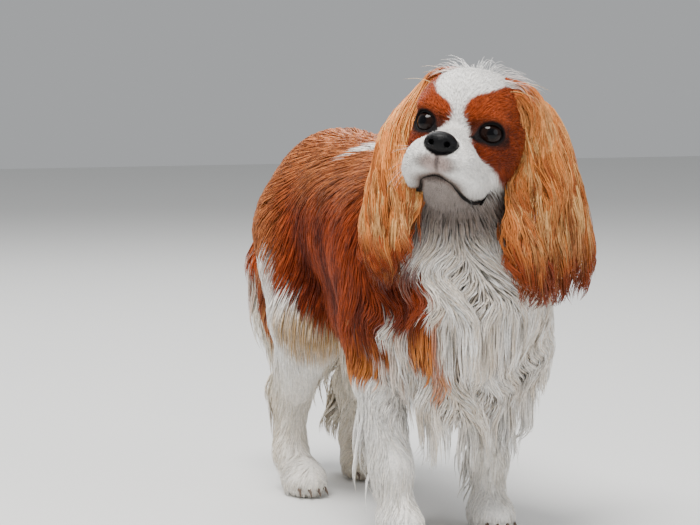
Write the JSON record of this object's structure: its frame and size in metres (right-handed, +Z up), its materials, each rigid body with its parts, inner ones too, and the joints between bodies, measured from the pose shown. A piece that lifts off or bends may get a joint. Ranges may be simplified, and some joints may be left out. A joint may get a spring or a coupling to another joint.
{
  "type": "cavalier king charles spaniel",
  "caption": "Life-size cavalier king charles spaniel standing with its head turned to its right: domed head, short muzzle, long feathered ears, chest ruff, leg feathering and plumed tail.",
  "frame": {"origin": "on the floor, under the middle of the box round the dog", "axes": "+Z up; the dog faces -Y, with its left side at +X"},
  "size_m": [0.2046, 0.4906, 0.3973],
  "materials": {
    "coat_white": "silky hair",
    "coat_chestnut": "silky hair",
    "eye": "wet gloss",
    "nose_leather": "moist satin"
  },
  "bodies": {
    "root": {"head": "coat_white", "lower_jaw": "coat_white", "eye_left": "eye", "eye_right": "eye", "nose": "nose_leather", "neck": "coat_white", "torso": "coat_chestnut", "tail": "coat_chestnut", "ear_left": "coat_chestnut", "ear_right": "coat_chestnut", "foreleg_left": "coat_white", "forepaw_left": "coat_white", "foreleg_right": "coat_white", "forepaw_right": "coat_white", "hindleg_left": "coat_white", "hindpaw_left": "coat_white", "hindleg_right": "coat_white", "hindpaw_right": "coat_white"}
  },
  "joints": []
}
